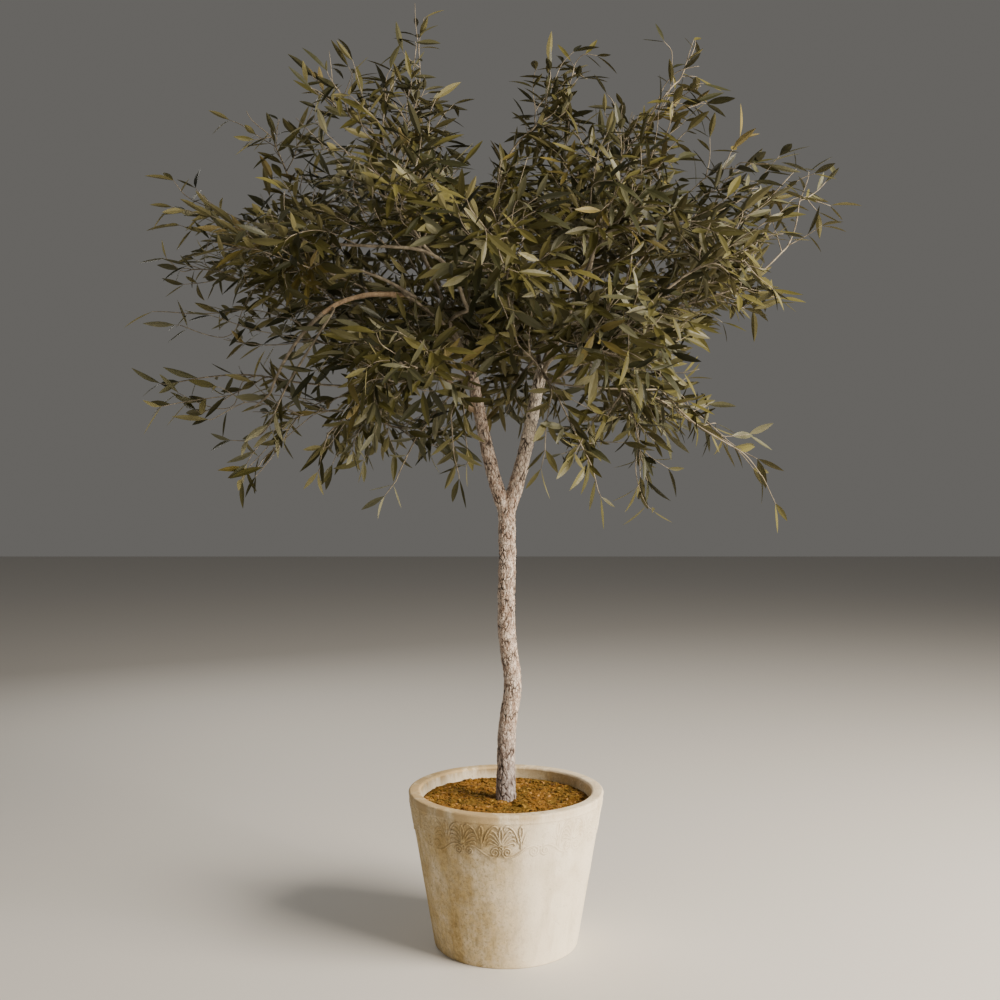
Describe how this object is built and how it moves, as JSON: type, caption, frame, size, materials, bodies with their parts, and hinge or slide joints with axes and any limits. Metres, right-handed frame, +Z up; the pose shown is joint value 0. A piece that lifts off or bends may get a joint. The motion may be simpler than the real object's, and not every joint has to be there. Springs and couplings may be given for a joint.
{
  "type": "potted olive tree",
  "caption": "Olive tree with a slim forked trunk and an open, spreading crown, standing in a round tapered stone pot with a traditional frieze of palmettes.",
  "frame": {"origin": "centre of the pot's flat underside, on the trunk's axis", "axes": "+Z up along the trunk; -Y towards the viewer, the crown's front; +X to the viewer's right"},
  "size_m": [1.6432, 1.3801, 2.1516],
  "materials": {
    "cast_stone": "matte",
    "mulch": "matte",
    "bark": "matte",
    "leaves": "matte"
  },
  "bodies": {
    "root": {"back_high_left": "leaves", "back_high_right": "leaves", "back_left": "leaves", "back_low": "leaves", "back_low_left": "leaves", "back_low_right": "leaves", "back_middle": "leaves", "back_right": "leaves", "back_side_left": "leaves", "back_side_right": "leaves", "bough_left": "bark", "bough_left_arch": "bark", "bough_left_fall": "bark", "bough_left_side": "bark", "bough_right": "bark", "crown_left": "leaves", "crown_right": "leaves", "front_high_left": "leaves", "front_high_right": "leaves", "front_left": "leaves", "front_middle": "leaves", "front_right": "leaves", "front_side_left": "leaves", "front_side_right": "leaves", "heart": "leaves", "heart_left": "leaves", "heart_right": "leaves", "low_left": "leaves", "low_right": "leaves", "middle_left": "leaves", "middle_right": "leaves", "outer_left": "leaves", "outer_right": "leaves", "peak_back": "leaves", "peak_left": "leaves", "peak_right": "leaves", "pot": "cast_stone", "saddle": "leaves", "shoulder_left": "leaves", "shoulder_right": "leaves", "skirt_left": "leaves", "skirt_right": "leaves", "soil": "mulch", "tip_back": "leaves", "tip_brow_right": "leaves", "tip_fall_left": "leaves", "tip_fall_right": "leaves", "tip_front": "leaves", "tip_high_left": "leaves", "tip_high_right": "leaves", "tip_low_left": "leaves", "tip_low_right": "leaves", "tip_middle_left": "leaves", "tip_peak_left": "leaves", "tip_peak_right": "leaves", "tip_shoulder_left": "leaves", "tip_shoulder_right": "leaves", "tip_side_right": "leaves", "tip_under_left": "leaves", "trunk": "bark"}
  },
  "joints": []
}
